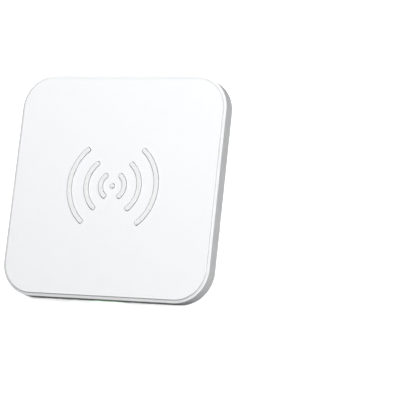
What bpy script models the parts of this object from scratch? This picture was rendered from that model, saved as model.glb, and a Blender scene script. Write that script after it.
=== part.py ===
"""Square wireless charging pad, standing on four rubber feet with its charging face up.

The origin is on the table under the middle of the pad. +Z is up, out of the charging face, +Y is the rear, where
the cable socket is, and -Y is the front, where the status light shows. Lengths are in metres.
"""

import math

import bmesh
import bpy
from mathutils import Vector

MM = 0.001

# Driving dimensions of the housing
HALF = 45.0 * MM
CORNER_RADIUS = 13.5 * MM
WALL = 1.6 * MM
RIM_WIDTH = 1.05 * MM
GAP = 0.3 * MM
SEAT = 0.15 * MM
PLATE_GAP = 0.1 * MM

# Heights above the table
UNDERSIDE_Z = 0.5 * MM
COVER_TOP_Z = 1.5 * MM
BOARD_Z = 2.2 * MM
BOARD_TOP_Z = 3.0 * MM
SOCKET_Z = 3.4 * MM
LEDGE_Z = 4.7 * MM
LEDGE_TOP_Z = 5.5 * MM
RIM_OUTER_Z = 6.3 * MM
RIM_INNER_Z = 6.6 * MM
FACE_Z = 7.0 * MM
RIB_TOP_Z = 7.4 * MM

# Top plate, its tape and its ledge
PLATE_THICKNESS = 1.05 * MM
TAPE_THICKNESS = 0.2 * MM
LEDGE_WIDTH = 2.4 * MM
EDGE_CHAMFER = 0.2 * MM

# Raised wave symbol: mid radius of each pair of ribs, and half the angle that a rib spans
RIB_ARCS = ((19.0 * MM, 49.0), (11.6 * MM, 49.0), (5.2 * MM, 50.0))
RIB_WIDTH = 1.7 * MM
RIB_EDGE = 0.25 * MM
RIB_END_FLAT = 0.3 * MM
SLOT_CLEARANCE = 0.1 * MM
WEB_RADIUS = 21.5 * MM
WEB_Z = 5.3 * MM
WEB_THICKNESS = 0.45 * MM

# Feet and screws, one of each in every corner
FOOT_PLACE = 34.0 * MM
FOOT_RADIUS = 4.4 * MM
FOOT_HEIGHT = 0.85 * MM
RECESS_TOP_Z = 1.0 * MM
SCREW_RADIUS = 1.0 * MM
SCREW_HEAD_RADIUS = 1.9 * MM
SCREW_HEAD_Z = 1.05 * MM
SCREW_HEAD_HEIGHT = 0.6 * MM
SCREW_TIP_Z = 4.8 * MM
COUNTERBORE_TOP_Z = 1.8 * MM
PAD_RADIUS = 2.8 * MM
PAD_TOP_Z = 2.5 * MM
BOSS_RADIUS = 2.6 * MM
BOSS_TOP_Z = 5.4 * MM
POST_RADIUS = 1.5 * MM
POST_PLACES = ((20.0, 37.0), (-20.0, 37.0), (20.0, -37.0), (-20.0, -37.0), (37.0, 0.0), (-37.0, 0.0))

# Cable socket, a USB-C receptacle sunk into the edge of the board
SHELL_WIDTH = 8.94 * MM
SHELL_HEIGHT = 3.26 * MM
SHELL_WALL = 0.3 * MM
SHELL_DEPTH = 7.3 * MM
SHELL_MOUTH_Y = 44.6 * MM
PORT_CLEARANCE = 0.22 * MM
TONGUE_WIDTH = 6.69 * MM
TONGUE_THICKNESS = 0.7 * MM
TONGUE_LENGTH = 4.4 * MM
TONGUE_BLOCK_DEPTH = 1.8 * MM

# Light pipe in the front wall: a low arched window that reaches the wall's lower edge
WINDOW_WIDTH = 14.6 * MM
WINDOW_HEIGHT = 2.5 * MM
WINDOW_CLEARANCE = 0.2 * MM
LIGHT_BLOCK_DEPTH = 3.6 * MM
LIGHT_ARM_WIDTH = 5.0 * MM
LIGHT_ARM_BACK_Y = -39.2 * MM
LIGHT_ARM_TOP_Z = 4.5 * MM

# Circuit board
BOARD_HALF = 41.0 * MM
BOARD_CORNER = 9.0 * MM
BOARD_HOLE_RADIUS = 26.5 * MM
BOARD_BOSS_HOLE = 3.3 * MM

# Coil stack on the bottom cover, from its foam tape up
FOAM_RADIUS = 24.0 * MM
FOAM_Z = (1.7 * MM, 2.3 * MM)
FERRITE_RADIUS = 25.0 * MM
FERRITE_Z = (2.5 * MM, 3.3 * MM)
FILM_RADII = (9.0 * MM, 22.5 * MM)
FILM_Z = (3.4 * MM, 3.5 * MM)
COIL_Z = 4.2 * MM
COIL_HEIGHT = 1.0 * MM
COIL_INNER_RADIUS = 10.1 * MM
COIL_TURNS = 9.5
COIL_PITCH = 1.2 * MM
WIRE_WIDTH = 0.9 * MM
LEAD_HEIGHT = 0.3 * MM
LEAD_OVER_COIL_Z = 5.0 * MM
LEAD_ON_BOARD_Z = 3.4 * MM

# Parts on the board: name, centre x and y, size x, y and z in millimetres, and their material
BOARD_PARTS = (
    ("controller_chip", 12.0, 33.0, 5.0, 5.0, 0.85, "chip_resin"),
    ("bridge_transistor_1", 19.5, 34.5, 3.3, 3.3, 0.9, "chip_resin"),
    ("bridge_transistor_2", 24.0, 34.5, 3.3, 3.3, 0.9, "chip_resin"),
    ("resonant_capacitor_1", 31.5, 19.0, 3.2, 1.6, 1.6, "capacitor_ceramic"),
    ("resonant_capacitor_2", 31.5, 21.5, 3.2, 1.6, 1.6, "capacitor_ceramic"),
    ("resonant_capacitor_3", 31.5, 24.0, 3.2, 1.6, 1.6, "capacitor_ceramic"),
    ("resonant_capacitor_4", 31.5, 26.5, 3.2, 1.6, 1.6, "capacitor_ceramic"),
    ("input_capacitor_1", -15.5, 35.0, 3.2, 2.5, 2.0, "capacitor_ceramic"),
    ("input_capacitor_2", -15.5, 31.0, 3.2, 2.5, 2.0, "capacitor_ceramic"),
    ("input_inductor", -22.5, 33.5, 5.0, 5.0, 2.0, "inductor_ferrite"),
    ("sense_resistor", 2.0, 31.5, 3.2, 1.6, 0.6, "chip_resin"),
    ("status_led", 0.0, -37.4, 1.8, 1.2, 1.0, "led_resin"),
)

# Colour, roughness and metallic value of each material
FINISHES = {
    "white_abs": ((0.90, 0.91, 0.92), 0.35, 0.0),
    "clear_silicone": ((0.82, 0.83, 0.82), 0.5, 0.0),
    "black_tape": ((0.03, 0.03, 0.03), 0.8, 0.0),
    "grey_rubber": ((0.55, 0.56, 0.57), 0.7, 0.0),
    "zinc_steel": ((0.62, 0.63, 0.65), 0.35, 1.0),
    "light_guide": ((0.25, 0.75, 0.35), 0.3, 0.0),
    "board_laminate": ((0.02, 0.13, 0.06), 0.45, 0.0),
    "nickel_steel": ((0.72, 0.71, 0.69), 0.25, 1.0),
    "black_insulator": ((0.02, 0.02, 0.02), 0.5, 0.0),
    "chip_resin": ((0.03, 0.03, 0.035), 0.5, 0.0),
    "capacitor_ceramic": ((0.55, 0.42, 0.30), 0.4, 0.0),
    "inductor_ferrite": ((0.10, 0.10, 0.11), 0.6, 0.0),
    "led_resin": ((0.75, 0.85, 0.70), 0.3, 0.0),
    "foam_tape": ((0.12, 0.12, 0.12), 0.9, 0.0),
    "ferrite": ((0.09, 0.09, 0.10), 0.55, 0.0),
    "polyimide_film": ((0.60, 0.32, 0.06), 0.3, 0.0),
    "copper_litz": ((0.85, 0.42, 0.22), 0.35, 1.0),
    "epoxy_bead": ((0.05, 0.05, 0.05), 0.4, 0.0),
}

CORNERS = ((1, 1), (-1, 1), (-1, -1), (1, -1))
CORNER_NAMES = ("rear_right", "rear_left", "front_left", "front_right")


# Building blocks


def clear_scene():
    """Remove the objects that a new file starts with."""
    for old in list(bpy.data.objects):
        bpy.data.objects.remove(old, do_unlink=True)


def finish_material(name):
    """Return the named material, making it on first use."""
    material = bpy.data.materials.get(name)
    if material is None:
        colour, roughness, metallic = FINISHES[name]
        material = bpy.data.materials.new(name)
        material.use_nodes = True
        shader = material.node_tree.nodes["Principled BSDF"]
        shader.inputs["Base Color"].default_value = (*colour, 1.0)
        shader.inputs["Roughness"].default_value = roughness
        shader.inputs["Metallic"].default_value = metallic
    return material


def make_object(name, bm, material=None, smooth_angle=30.0):
    """Turn a bmesh into a scene object with outward faces and one material."""
    bmesh.ops.recalc_face_normals(bm, faces=bm.faces)
    mesh = bpy.data.meshes.new(name)
    bm.to_mesh(mesh)
    bm.free()
    mesh.shade_smooth()
    mesh.set_sharp_from_angle(angle=math.radians(smooth_angle))
    body = bpy.data.objects.new(name, mesh)
    bpy.context.scene.collection.objects.link(body)
    if material:
        mesh.materials.append(finish_material(material))
    return body


def boolean(body, tool, operation):
    """Cut a tool from a body, or join it to the body, and keep the tool as a guide."""
    modifier = body.modifiers.new(tool.name, "BOOLEAN")
    modifier.operation = operation
    modifier.object = tool
    tool.hide_render = True
    tool.display_type = "WIRE"


def rounded_square(half, radius, segments=9):
    """Outline of a square with round corners, counter-clockwise from the right side's rear end."""
    points = []
    for quarter, (side_x, side_y) in enumerate(CORNERS):
        for step in range(segments + 1):
            angle = math.radians(90.0 * (quarter + step / segments))
            x = side_x * (half - radius) + radius * math.cos(angle)
            y = side_y * (half - radius) + radius * math.sin(angle)
            points.append((x, y))
    return points


def housing_outline(half, segments=9):
    """Rounded square at a given half width whose corners are concentric with the housing's own."""
    return rounded_square(half, CORNER_RADIUS - (HALF - half), segments)


def circle(radius, segments, centre=(0.0, 0.0)):
    """Closed ring of points about a centre."""
    turns = [2.0 * math.pi * i / segments for i in range(segments)]
    return [(centre[0] + radius * math.cos(a), centre[1] + radius * math.sin(a)) for a in turns]


def stadium(width, height, segments=8):
    """Slot outline with round ends, wide along the first axis."""
    radius = height / 2
    reach = width / 2 - radius
    points = []
    for side, start in ((1, -90.0), (-1, 90.0)):
        for step in range(segments + 1):
            angle = math.radians(start + 180.0 * step / segments)
            points.append((side * reach + radius * math.cos(angle), radius * math.sin(angle)))
    return points


def prism(outlines, z_low, z_high):
    """Upright prism of an outline, with any further outlines as holes through it."""
    bm = bmesh.new()
    for outline in outlines:
        ring = [bm.verts.new((x, y, z_low)) for x, y in outline]
        for start, end in zip(ring, ring[1:] + ring[:1]):
            bm.edges.new((start, end))
    bmesh.ops.triangle_fill(bm, edges=bm.edges, use_beauty=True)
    top = bmesh.ops.extrude_face_region(bm, geom=bm.faces[:])["geom"]
    lifted = [item for item in top if isinstance(item, bmesh.types.BMVert)]
    bmesh.ops.translate(bm, verts=lifted, vec=(0.0, 0.0, z_high - z_low))
    return bm


def loft(rings, closed_section=False):
    """Skin a run of equal point rings; the ends are capped unless the run closes on itself."""
    bm = bmesh.new()
    rows = [[bm.verts.new(point) for point in ring] for ring in rings]
    pairs = list(zip(rows, rows[1:]))
    if closed_section:
        pairs.append((rows[-1], rows[0]))
    for low, high in pairs:
        count = len(low)
        for i in range(count):
            j = (i + 1) % count
            bm.faces.new((low[i], low[j], high[j], high[i]))
    if not closed_section:
        bm.faces.new(rows[0])
        bm.faces.new(rows[-1])
    return bm


def turned(profile, segments, centre=(0.0, 0.0)):
    """Round solid from (radius, z) steps, with flat ends."""
    return loft([[(x, y, z) for x, y in circle(radius, segments, centre)] for radius, z in profile])


def box(centre, size):
    """Plain block about a centre."""
    bm = bmesh.new()
    bmesh.ops.create_cube(bm, size=1.0)
    bmesh.ops.scale(bm, vec=size, verts=bm.verts)
    bmesh.ops.translate(bm, vec=centre, verts=bm.verts)
    return bm


def along_y(bm, y_start, z_middle):
    """Turn a prism made along +Z so that it runs along +Y, with its first outline axis on X."""
    for vert in bm.verts:
        x, up, depth = vert.co
        vert.co = Vector((x, y_start + depth, z_middle + up))
    return bm


# Housing


def make_housing_frame():
    """Side wall with the rim, the ledge that holds the plate, and four screw bosses."""
    wall_inner = HALF - WALL
    rim_inner = HALF - RIM_WIDTH
    ledge_inner = wall_inner - LEDGE_WIDTH
    foot_edge = 0.2 * MM
    profile = (
        (HALF - foot_edge, UNDERSIDE_Z),
        (HALF, UNDERSIDE_Z + foot_edge),
        (HALF, RIM_OUTER_Z),
        (rim_inner, RIM_INNER_Z),
        (rim_inner, LEDGE_TOP_Z),
        (ledge_inner, LEDGE_TOP_Z),
        (ledge_inner, LEDGE_Z),
        (wall_inner, LEDGE_Z),
        (wall_inner, UNDERSIDE_Z),
    )
    rings = [[(x, y, z) for x, y in housing_outline(half)] for half, z in profile]
    frame = make_object("housing_frame", loft(rings, closed_section=True), "white_abs")

    boss_low_z = PAD_TOP_Z + GAP
    gusset = (1.2 * MM, 3.4 * MM, 5.0 * MM)
    for (side_x, side_y), corner in zip(CORNERS, CORNER_NAMES):
        centre = (side_x * FOOT_PLACE, side_y * FOOT_PLACE)
        boss = turned(((BOSS_RADIUS, boss_low_z), (BOSS_RADIUS, BOSS_TOP_Z)), 16, centre)
        boolean(frame, make_object("boss_" + corner, boss), "UNION")
        reach = wall_inner + 0.2 * MM - FOOT_PLACE
        middle = FOOT_PLACE + reach / 2
        thickness, low, high = gusset
        for axis in ("x", "y"):
            size = (reach, thickness, high - low) if axis == "x" else (thickness, reach, high - low)
            place_x = middle if axis == "x" else FOOT_PLACE
            place_y = FOOT_PLACE if axis == "x" else middle
            block = box((side_x * place_x, side_y * place_y, (low + high) / 2), size)
            boolean(frame, make_object("gusset_" + axis + "_" + corner, block), "UNION")
        hole_radius = SCREW_RADIUS + SEAT
        hole = turned(((hole_radius, boss_low_z - GAP), (hole_radius, SCREW_TIP_Z + GAP)), 12, centre)
        boolean(frame, make_object("boss_hole_" + corner, hole), "DIFFERENCE")

    width = SHELL_WIDTH + 2 * PORT_CLEARANCE
    height = SHELL_HEIGHT + 2 * PORT_CLEARANCE
    port = along_y(prism([stadium(width, height)], 0.0, 6.0 * MM), HALF - 5.0 * MM, SOCKET_Z)
    boolean(frame, make_object("port_cutter", port), "DIFFERENCE")
    window = along_y(prism([window_outline(WINDOW_CLEARANCE)], 0.0, 3.0 * MM), -HALF - 1.0 * MM, 0.0)
    boolean(frame, make_object("window_cutter", window), "DIFFERENCE")


def window_outline(clearance):
    """Arched outline of the light window, as x and z; with clearance it also reaches below the wall."""
    half_chord = WINDOW_WIDTH / 2
    rise = WINDOW_HEIGHT
    radius = (half_chord**2 + rise**2) / (2 * rise)
    sweep = math.asin(half_chord / radius)
    centre_z = UNDERSIDE_Z + rise - radius
    points = []
    steps = 12
    for step in range(steps + 1):
        angle = sweep * (1 - 2 * step / steps)
        x = (radius + clearance) * math.sin(angle)
        points.append((x, centre_z + (radius + clearance) * math.cos(angle)))
    if clearance:
        end_x = half_chord + 2 * clearance
        points = [(end_x, -clearance)] + points + [(-end_x, -clearance)]
    return points


def make_bottom_cover():
    """Base plate with foot recesses, screw pads and board posts, notched in front for the light pipe."""
    half = HALF - WALL - GAP
    outline = housing_outline(half)
    notch_x = WINDOW_WIDTH / 2 + GAP
    notch_y = -HALF + LIGHT_BLOCK_DEPTH + GAP
    notch = [(-notch_x, -half), (-notch_x, notch_y), (notch_x, notch_y), (notch_x, -half)]
    front_corner_end = 3 * len(outline) // 4
    outline = outline[:front_corner_end] + notch + outline[front_corner_end:]
    cover = make_object("bottom_cover", prism([outline], UNDERSIDE_Z, COVER_TOP_Z), "white_abs")

    root_z = COVER_TOP_Z - GAP
    for number, (x, y) in enumerate(POST_PLACES, 1):
        post = turned(((POST_RADIUS, root_z), (POST_RADIUS, BOARD_Z - GAP)), 12, (x * MM, y * MM))
        boolean(cover, make_object("post_" + str(number), post), "UNION")
    for (side_x, side_y), corner in zip(CORNERS, CORNER_NAMES):
        centre = (side_x * FOOT_PLACE, side_y * FOOT_PLACE)
        pad = turned(((PAD_RADIUS, root_z), (PAD_RADIUS, PAD_TOP_Z)), 16, centre)
        boolean(cover, make_object("pad_" + corner, pad), "UNION")
        recess_radius = FOOT_RADIUS + GAP
        head_radius = SCREW_HEAD_RADIUS + GAP
        shaft_radius = SCREW_RADIUS + GAP
        steps = (
            (recess_radius, 0.0),
            (recess_radius, RECESS_TOP_Z),
            (head_radius, RECESS_TOP_Z),
            (head_radius, COUNTERBORE_TOP_Z),
            (shaft_radius, COUNTERBORE_TOP_Z),
            (shaft_radius, PAD_TOP_Z + GAP),
        )
        cutter = make_object("recess_" + corner, turned(steps, 24, centre))
        boolean(cover, cutter, "DIFFERENCE")


def make_feet_and_screws():
    """A rubber foot in each recess, and over it the screw that it hides."""
    soft_edge = 0.25 * MM
    neck_z = SCREW_HEAD_Z + SCREW_HEAD_HEIGHT
    for (side_x, side_y), corner in zip(CORNERS, CORNER_NAMES):
        centre = (side_x * FOOT_PLACE, side_y * FOOT_PLACE)
        foot = ((FOOT_RADIUS - soft_edge, 0.0), (FOOT_RADIUS, soft_edge), (FOOT_RADIUS, FOOT_HEIGHT))
        make_object("foot_" + corner, turned(foot, 24, centre), "grey_rubber")
        screw = (
            (SCREW_HEAD_RADIUS * 0.8, SCREW_HEAD_Z),
            (SCREW_HEAD_RADIUS, SCREW_HEAD_Z + SCREW_HEAD_HEIGHT / 2),
            (SCREW_HEAD_RADIUS, neck_z),
            (SCREW_RADIUS, neck_z),
            (SCREW_RADIUS, SCREW_TIP_Z - SCREW_RADIUS / 2),
            (SCREW_RADIUS / 2, SCREW_TIP_Z),
        )
        make_object("screw_" + corner, turned(screw, 12, centre), "zinc_steel")


# Charging face


def arc_outline(radius, half_angle, half_width, middle_angle, steps=14, corner_steps=3):
    """Outline of one curved rib, concentric with the pad, whose blunt ends have round corners."""
    sweep = math.radians(half_angle)
    middle = math.radians(middle_angle)
    corner = half_width - RIB_END_FLAT
    points = []
    for end in (1, -1):
        edge_radius = radius + end * half_width
        for step in range(steps + 1):
            angle = middle - end * sweep * (1 - 2 * step / steps)
            points.append((edge_radius * math.cos(angle), edge_radius * math.sin(angle)))
        angle = middle + end * sweep
        radial = Vector((math.cos(angle), math.sin(angle)))
        tangent = Vector((-radial.y, radial.x))
        for side in (1, -1):
            for step in range(corner_steps + 1):
                turn = math.radians(45.0 * (1 - side) + 90.0 * step / corner_steps)
                across = end * (side * RIB_END_FLAT + corner * math.cos(turn))
                along = end * (RIB_END_FLAT + corner * math.sin(turn))
                points.append(tuple(radial * (radius + across) + tangent * along))
    return points


def rib_outlines(half_width):
    """Outlines of the six curved ribs and the centre dot."""
    outlines = []
    for radius, half_angle in RIB_ARCS:
        for middle_angle in (0.0, 180.0):
            outlines.append(arc_outline(radius, half_angle, half_width, middle_angle))
    outlines.append(circle(half_width, 16))
    return outlines


def make_top_plate():
    """Flat charging face with slots that the grip ribs stand through."""
    half = HALF - RIM_WIDTH - PLATE_GAP
    low_z = FACE_Z - PLATE_THICKNESS
    sections = ((half, low_z), (half, FACE_Z - EDGE_CHAMFER), (half - EDGE_CHAMFER, FACE_Z))
    rings = [[(x, y, z) for x, y in housing_outline(size)] for size, z in sections]
    plate = make_object("top_plate", loft(rings), "white_abs")
    for number, outline in enumerate(rib_outlines(RIB_WIDTH / 2 + SLOT_CLEARANCE), 1):
        slot = make_object("slot_" + str(number), prism([outline], low_z - GAP, FACE_Z + GAP))
        boolean(plate, slot, "DIFFERENCE")


def make_grip_insert():
    """Soft moulding behind the plate, one disc whose ribs stand proud of the face."""
    web_top_z = WEB_Z + WEB_THICKNESS
    insert = make_object("grip_insert", prism([circle(WEB_RADIUS, 48)], WEB_Z, web_top_z), "clear_silicone")
    full = rib_outlines(RIB_WIDTH / 2)
    narrow = rib_outlines(RIB_WIDTH / 2 - RIB_EDGE)
    for number, (wide_line, narrow_line) in enumerate(zip(full, narrow), 1):
        rings = (
            [(x, y, WEB_Z + WEB_THICKNESS / 2) for x, y in wide_line],
            [(x, y, RIB_TOP_Z - RIB_EDGE) for x, y in wide_line],
            [(x, y, RIB_TOP_Z) for x, y in narrow_line],
        )
        boolean(insert, make_object("rib_" + str(number), loft(rings)), "UNION")


def make_top_plate_tape():
    """Die-cut tape ring that bonds the plate to the ledge."""
    outer = housing_outline(HALF - RIM_WIDTH - 2 * GAP)
    inner = housing_outline(HALF - WALL - LEDGE_WIDTH + GAP)
    low_z = LEDGE_TOP_Z + 0.1 * MM
    make_object("top_plate_tape", prism([outer, inner], low_z, low_z + TAPE_THICKNESS), "black_tape")


# Cable socket and status light


def make_socket():
    """Folded steel shell, open to the rear, and the insulator that holds the contact tongue."""
    back_y = SHELL_MOUTH_Y - SHELL_DEPTH
    outer = stadium(SHELL_WIDTH, SHELL_HEIGHT)
    inner = stadium(SHELL_WIDTH - 2 * SHELL_WALL, SHELL_HEIGHT - 2 * SHELL_WALL)
    shell = along_y(prism([outer, inner], 0.0, SHELL_DEPTH), back_y, SOCKET_Z)
    make_object("usb_c_shell", shell, "nickel_steel")

    slack = 2 * (SHELL_WALL + SEAT)
    block_line = stadium(SHELL_WIDTH - slack, SHELL_HEIGHT - slack)
    block = along_y(prism([block_line], 0.0, TONGUE_BLOCK_DEPTH), back_y, SOCKET_Z)
    tongue = make_object("usb_c_tongue", block, "black_insulator")
    blade_start = back_y + TONGUE_BLOCK_DEPTH / 2
    blade_length = TONGUE_LENGTH + TONGUE_BLOCK_DEPTH / 2
    centre = (0.0, blade_start + blade_length / 2, SOCKET_Z)
    blade = box(centre, (TONGUE_WIDTH, blade_length, TONGUE_THICKNESS))
    boolean(tongue, make_object("tongue_blade", blade), "UNION")


def make_light_pipe():
    """Clear guide from the light on the board down to the window in the front wall."""
    block = along_y(prism([window_outline(0.0)], 0.0, LIGHT_BLOCK_DEPTH), -HALF, 0.0)
    pipe = make_object("light_pipe", block, "light_guide")
    arm_low_z = UNDERSIDE_Z + 0.5 * MM
    arm_wall_z = arm_low_z + 0.6 * MM
    slope_start_y = -HALF + LIGHT_BLOCK_DEPTH - 0.4 * MM
    slope_rise = LIGHT_ARM_BACK_Y - slope_start_y
    bend_y = LIGHT_ARM_BACK_Y - 1.2 * MM
    side_view = (
        (-HALF + 1.0 * MM, arm_low_z),
        (slope_start_y, arm_low_z),
        (LIGHT_ARM_BACK_Y, arm_low_z + slope_rise),
        (LIGHT_ARM_BACK_Y, LIGHT_ARM_TOP_Z),
        (bend_y, LIGHT_ARM_TOP_Z),
        (bend_y - (LIGHT_ARM_TOP_Z - arm_wall_z), arm_wall_z),
        (-HALF + 1.0 * MM, arm_wall_z),
    )
    half_width = LIGHT_ARM_WIDTH / 2
    rings = [[(x, y, z) for y, z in side_view] for x in (-half_width, half_width)]
    boolean(pipe, make_object("light_arm", loft(rings)), "UNION")


# Board, its parts and the coil


def make_circuit_board():
    """Ring-shaped board round the coil, notched for the socket and for the light pipe."""
    outline = rounded_square(BOARD_HALF, BOARD_CORNER, 6)
    quarter = len(outline) // 4
    socket_x = SHELL_WIDTH / 2 + GAP
    socket_y = SHELL_MOUTH_Y - SHELL_DEPTH - GAP
    rear = [(socket_x, BOARD_HALF), (socket_x, socket_y), (-socket_x, socket_y), (-socket_x, BOARD_HALF)]
    light_x = LIGHT_ARM_WIDTH / 2 + GAP
    light_y = LIGHT_ARM_BACK_Y + GAP
    front = [(-light_x, -BOARD_HALF), (-light_x, light_y), (light_x, light_y), (light_x, -BOARD_HALF)]
    outline = outline[:quarter] + rear + outline[quarter : 3 * quarter] + front + outline[3 * quarter :]
    holes = [circle(BOARD_HOLE_RADIUS, 48)]
    for side_x, side_y in CORNERS:
        holes.append(circle(BOARD_BOSS_HOLE, 16, (side_x * FOOT_PLACE, side_y * FOOT_PLACE)))
    make_object("circuit_board", prism([outline] + holes, BOARD_Z, BOARD_TOP_Z), "board_laminate")


def make_board_parts():
    """Chips, capacitors and the inductor, standing on their solder just above the board."""
    for name, x, y, size_x, size_y, size_z, material in BOARD_PARTS:
        middle_z = BOARD_TOP_Z + SEAT + size_z * MM / 2
        block = box((x * MM, y * MM, middle_z), (size_x * MM, size_y * MM, size_z * MM))
        make_object(name, block, material)


def make_coil_stack():
    """Foam tape, ferrite shield and adhesive film under the coil."""
    make_object("coil_foam_tape", prism([circle(FOAM_RADIUS, 40)], *FOAM_Z), "foam_tape")
    make_object("ferrite_shield", prism([circle(FERRITE_RADIUS, 48)], *FERRITE_Z), "ferrite")
    hole_radius, outer_radius = FILM_RADII
    film = prism([circle(outer_radius, 40), circle(hole_radius, 24)], *FILM_Z)
    make_object("coil_film", film, "polyimide_film")


def ribbon(path):
    """Flat conductor along a path of (x, y, z, half width, half height), level from side to side."""
    rings = []
    for i, (x, y, z, half_width, half_height) in enumerate(path):
        before = path[max(i - 1, 0)]
        after = path[min(i + 1, len(path) - 1)]
        heading = Vector((after[0] - before[0], after[1] - before[1])).normalized()
        side = Vector((-heading.y, heading.x)) * half_width
        rings.append(
            (
                (x + side.x, y + side.y, z + half_height),
                (x - side.x, y - side.y, z + half_height),
                (x - side.x, y - side.y, z - half_height),
                (x + side.x, y + side.y, z - half_height),
            )
        )
    return loft(rings)


def make_charging_coil():
    """One flat spiral: the inner lead crosses over the turns, the outer one leaves beside them."""
    half_width = WIRE_WIDTH / 2
    turn_half = COIL_HEIGHT / 2
    lead_half = LEAD_HEIGHT / 2
    inner_x = -COIL_INNER_RADIUS
    on_board_y = 30.0 * MM
    board_edge_y = 27.0 * MM
    over_coil_y = 24.0 * MM
    path = [
        (inner_x, on_board_y, LEAD_ON_BOARD_Z, half_width, lead_half),
        (inner_x, board_edge_y, LEAD_ON_BOARD_Z, half_width, lead_half),
        (inner_x, over_coil_y, LEAD_OVER_COIL_Z, half_width, lead_half),
        (inner_x, over_coil_y / 2, LEAD_OVER_COIL_Z, half_width, lead_half),
    ]
    steps_per_turn = 20
    descent_steps = 4
    for step in range(int(COIL_TURNS * steps_per_turn) + 1):
        turn = step / steps_per_turn
        angle = math.pi + 2 * math.pi * turn
        radius = COIL_INNER_RADIUS + COIL_PITCH * turn
        sunk = min(step / descent_steps, 1.0)
        z = LEAD_OVER_COIL_Z + (COIL_Z - LEAD_OVER_COIL_Z) * sunk
        half_height = lead_half + (turn_half - lead_half) * sunk
        path.append((radius * math.cos(angle), radius * math.sin(angle), z, half_width, half_height))
    outer_x = COIL_INNER_RADIUS + COIL_PITCH * COIL_TURNS
    path.append((outer_x, 12.0 * MM, COIL_Z, half_width, turn_half))
    path.append((outer_x, 16.0 * MM, LEAD_ON_BOARD_Z + SEAT, half_width, lead_half))
    path.append((outer_x, 21.0 * MM, LEAD_ON_BOARD_Z, half_width, lead_half))
    make_object("charging_coil", ribbon(path), "copper_litz")


def make_thermistor():
    """Temperature bead on the shield in the middle of the coil, with its flat tail to the board."""
    line_y = -4.0 * MM
    tail_half_width = 0.5 * MM
    tail_half = 0.12 * MM
    bead_z = 4.1 * MM
    tail_z = LEAD_OVER_COIL_Z + 0.05 * MM
    path = (
        (-1.6 * MM, line_y, bead_z, 0.6 * MM, 0.25 * MM),
        (-1.0 * MM, line_y, bead_z, 1.1 * MM, 0.5 * MM),
        (1.0 * MM, line_y, bead_z, 1.1 * MM, 0.5 * MM),
        (1.8 * MM, line_y, bead_z, tail_half_width, tail_half),
        (5.0 * MM, line_y, bead_z, tail_half_width, tail_half),
        (8.0 * MM, line_y, tail_z, tail_half_width, tail_half),
        (24.0 * MM, line_y, tail_z, tail_half_width, tail_half),
        (27.5 * MM, line_y, LEAD_ON_BOARD_Z, tail_half_width, tail_half),
        (30.0 * MM, line_y, LEAD_ON_BOARD_Z, tail_half_width, tail_half),
    )
    make_object("thermistor", ribbon(path), "epoxy_bead")


def main():
    clear_scene()
    make_housing_frame()
    make_bottom_cover()
    make_feet_and_screws()
    make_top_plate()
    make_grip_insert()
    make_top_plate_tape()
    make_socket()
    make_light_pipe()
    make_circuit_board()
    make_board_parts()
    make_coil_stack()
    make_charging_coil()
    make_thermistor()


main()
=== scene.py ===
# %% [markdown]
# # A square wireless charging pad
# The pad is a slim white housing: a side wall with a narrow sloping rim, a flat face plate set into
# the rim, a wave symbol of soft ribs that stand through slots in the plate, a cover underneath with
# four rubber feet, a USB-C socket in the rear wall and a green status light low in the front wall.
#
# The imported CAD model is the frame. Every outer piece is modelled again here, finer, in exactly the
# place and size that its CAD node gives. The parts inside keep their CAD shapes and get their real
# finishes.

# %% Load the frame
import bmesh
import bpy
import math
from mathutils import Euler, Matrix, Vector


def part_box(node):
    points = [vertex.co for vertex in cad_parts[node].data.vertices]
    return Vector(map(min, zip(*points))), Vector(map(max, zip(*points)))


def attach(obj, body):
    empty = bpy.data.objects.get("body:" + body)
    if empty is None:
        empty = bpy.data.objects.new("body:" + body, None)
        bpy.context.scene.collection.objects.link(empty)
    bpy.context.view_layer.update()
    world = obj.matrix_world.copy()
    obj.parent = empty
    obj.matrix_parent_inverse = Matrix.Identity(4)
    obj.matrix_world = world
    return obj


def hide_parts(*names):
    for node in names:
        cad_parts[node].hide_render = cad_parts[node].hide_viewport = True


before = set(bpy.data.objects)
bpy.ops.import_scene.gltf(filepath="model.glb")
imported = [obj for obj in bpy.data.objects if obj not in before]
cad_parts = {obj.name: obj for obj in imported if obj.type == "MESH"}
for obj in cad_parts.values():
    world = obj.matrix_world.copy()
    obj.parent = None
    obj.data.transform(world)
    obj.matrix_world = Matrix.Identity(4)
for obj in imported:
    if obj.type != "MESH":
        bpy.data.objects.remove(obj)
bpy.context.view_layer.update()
MM = 0.001
BODY = "root"

# %% [markdown]
# ## Reading sizes from the frame
# A piece that has to fit its neighbours takes its sizes from them. The boxes of the CAD nodes give
# the housing's width, the heights of the ledge, plate and ribs, and the places of the feet, so
# nothing is measured twice.

# %% Sizes of the housing, taken from the frame's boxes
frame_low, frame_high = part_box("housing_frame")
plate_low, plate_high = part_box("top_plate")
grip_low, grip_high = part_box("grip_insert")
cover_low, cover_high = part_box("bottom_cover")
tape_low, tape_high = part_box("top_plate_tape")
window_low, window_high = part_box("light_pipe")
shell_low, shell_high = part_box("usb_c_shell")
tongue_low, tongue_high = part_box("usb_c_tongue")

HALF = frame_high.x
FACE_Z = plate_high.z
UNDERSIDE_Z = frame_low.z
RIM_INNER_Z = frame_high.z
CORNER_RADIUS = 0.3 * HALF
RIM_GAP = 0.09 * MM
RIM_WIDTH = HALF - plate_high.x - RIM_GAP
RIM_DROP = 0.3 * MM
WALL = 1.6 * MM
LEDGE_WIDTH = 2.4 * MM
LEDGE_THICKNESS = 0.8 * MM
LEDGE_TOP_Z = tape_low.z - 0.1 * MM
print("half width", round(HALF / MM, 2), "corner radius", round(CORNER_RADIUS / MM, 2))
print("face height", round(FACE_Z / MM, 2))

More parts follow.
